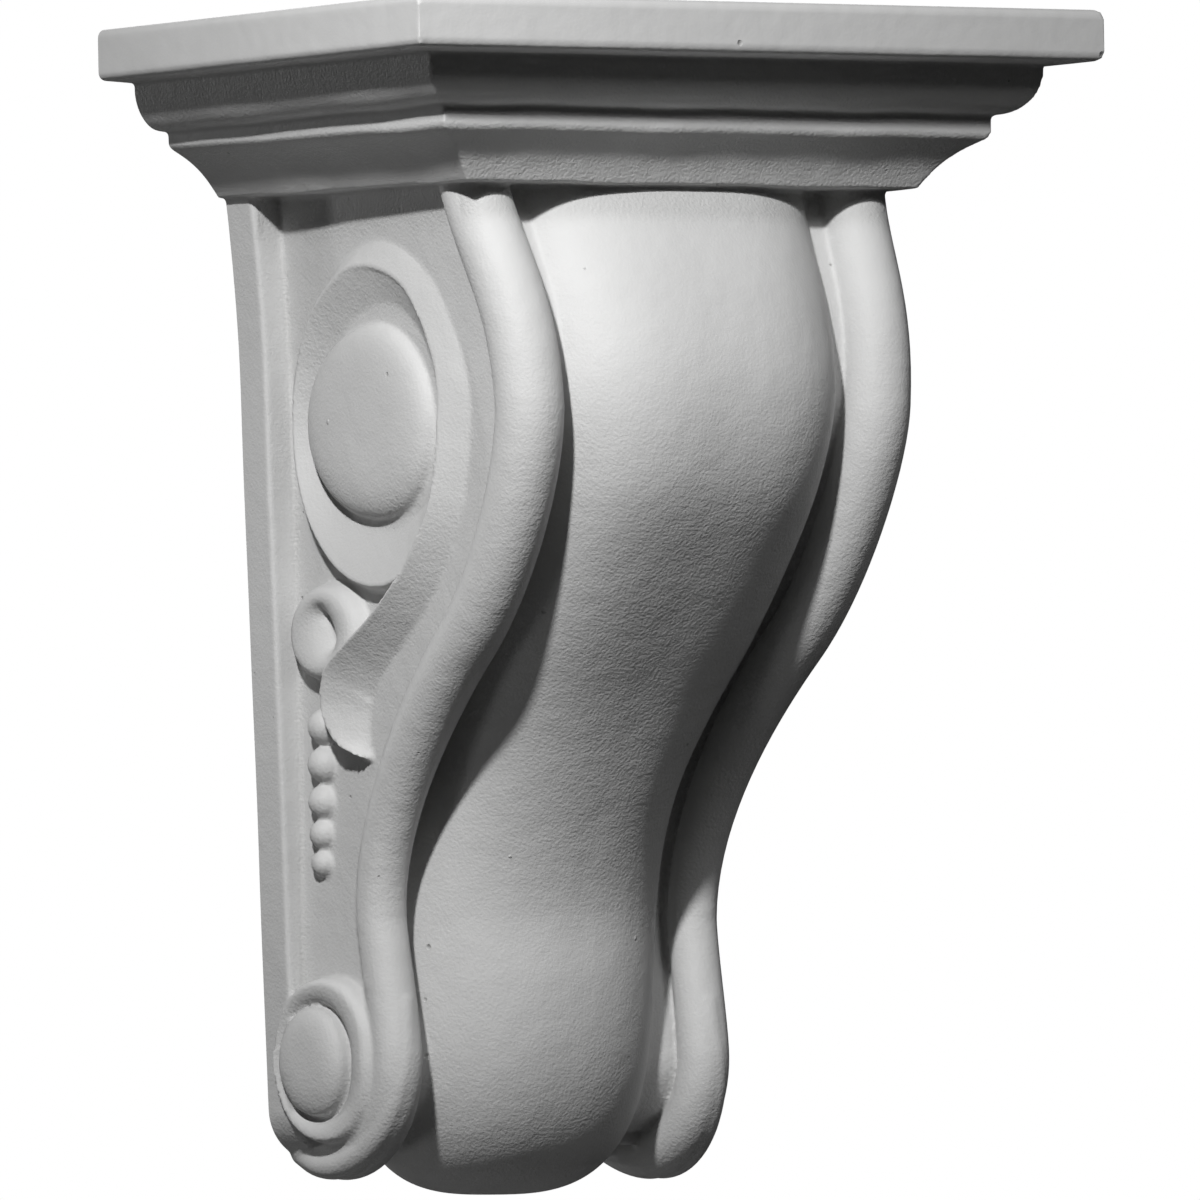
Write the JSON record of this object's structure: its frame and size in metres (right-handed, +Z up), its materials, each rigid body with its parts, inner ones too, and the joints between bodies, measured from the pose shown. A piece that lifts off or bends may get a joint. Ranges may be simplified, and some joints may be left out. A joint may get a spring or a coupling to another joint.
{
  "type": "decorative corbel",
  "caption": "Primed moulded corbel: stepped cap over an S-curved front with a full swell between round rolls, and scroll relief with beads on each side.",
  "frame": {"origin": "middle of the flat back face, at half the height, on the wall plane", "axes": "+Y into the wall, +Z up, +X to the right seen from in front; the cap reaches out along -Y"},
  "size_m": [0.2508, 0.1764, 0.356],
  "materials": {
    "primed_foam": "matt white primer with a light orange peel over moulded rigid foam"
  },
  "bodies": {
    "root": {"corbel": "primed_foam"}
  },
  "joints": []
}
